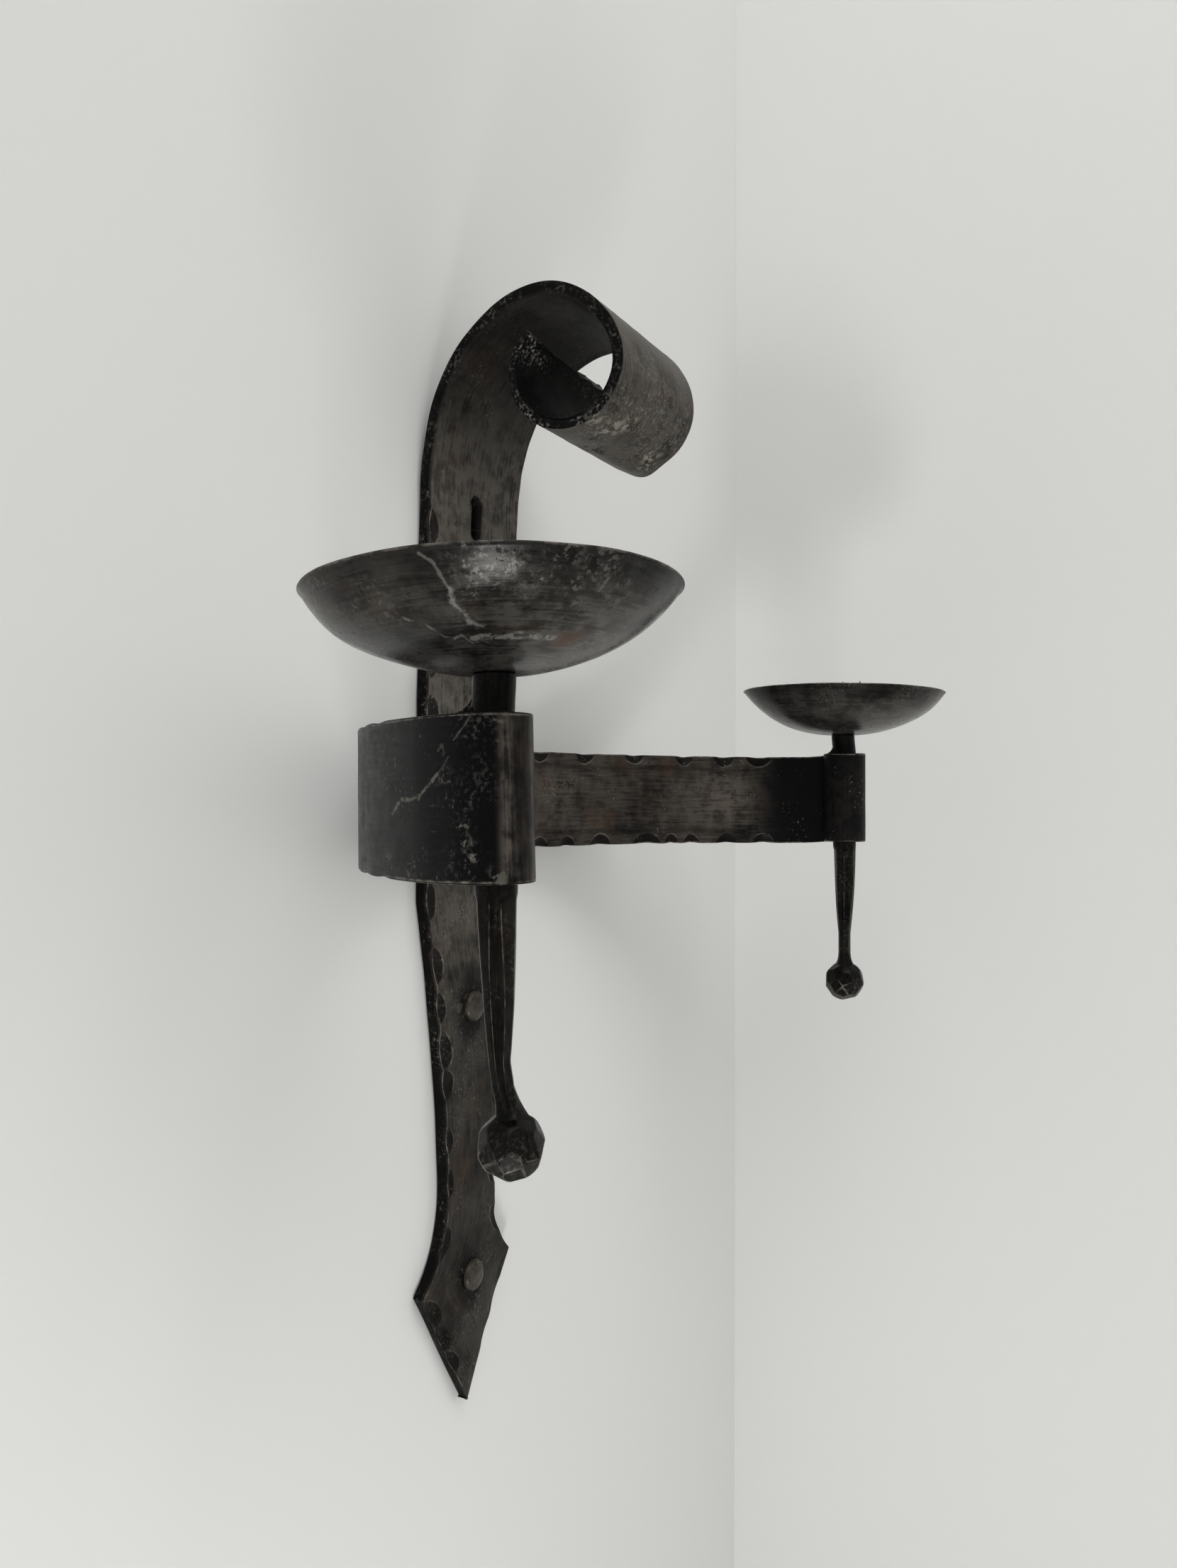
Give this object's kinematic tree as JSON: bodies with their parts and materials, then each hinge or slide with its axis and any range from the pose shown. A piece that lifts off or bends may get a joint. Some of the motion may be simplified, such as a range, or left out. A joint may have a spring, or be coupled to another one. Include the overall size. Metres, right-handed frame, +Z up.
{
  "type": "torch sconce",
  "caption": "Forged iron wall sconce: flat back bar curled into a scroll, bowed arm, and torches with drip pans and candle thorns.",
  "frame": {"origin": "on the wall plane, behind the arm's middle", "axes": "+X right, +Y into the wall, +Z up; the front faces -Y"},
  "size_m": [0.3872, 0.1591, 0.4231],
  "materials": {
    "bar_iron": "blackened, brushed and waxed, worn brown-grey on the front",
    "arm_iron": "blackened and waxed, smooth outside, brown-grey inside",
    "rod_iron": "near-black, glossy waxed, hammered",
    "pan_iron": "blackened sheet, brushed round, waxed",
    "rivet_iron": "worn dark grey"
  },
  "bodies": {
    "root": {"back_bar": "bar_iron", "bar_rivets": "rivet_iron", "arm": "arm_iron", "arm_rivets": "rivet_iron", "left_torch": "rod_iron", "right_torch": "rod_iron", "left_drip_pan": "pan_iron", "right_drip_pan": "pan_iron", "left_claw_plate": "rod_iron", "right_claw_plate": "rod_iron", "left_thorns": "rod_iron", "right_thorns": "rod_iron", "left_weld": "rod_iron", "right_weld": "rod_iron"}
  },
  "joints": []
}
